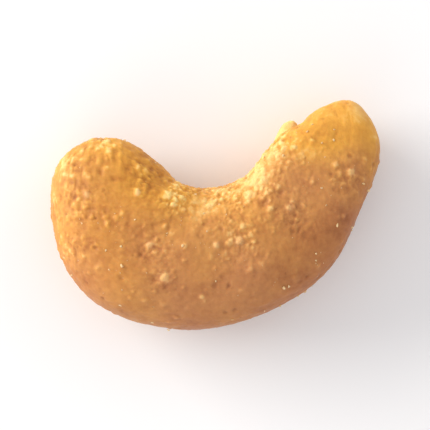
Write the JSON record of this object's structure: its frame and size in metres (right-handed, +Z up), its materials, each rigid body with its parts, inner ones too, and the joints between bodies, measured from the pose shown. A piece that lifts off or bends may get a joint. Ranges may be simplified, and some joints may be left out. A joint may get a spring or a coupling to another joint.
{
  "type": "roasted cashew nut",
  "caption": "Plump curved kernel with a blunt end and a slim end, a fine seam round its edge and a small nub in the seam, lying on its cheek.",
  "frame": {"origin": "on the surface that the kernel lies on, under the middle of its bounding box", "axes": "+X from the blunt end to the slim end, +Y out of the open side of the curve, +Z up through the upper cheek"},
  "size_m": [0.0262, 0.0182, 0.0101],
  "materials": {
    "roasted_kernel": "satin golden tan roasted kernel with pale salt specks"
  },
  "bodies": {
    "root": {"kernel": "roasted_kernel"}
  },
  "joints": []
}
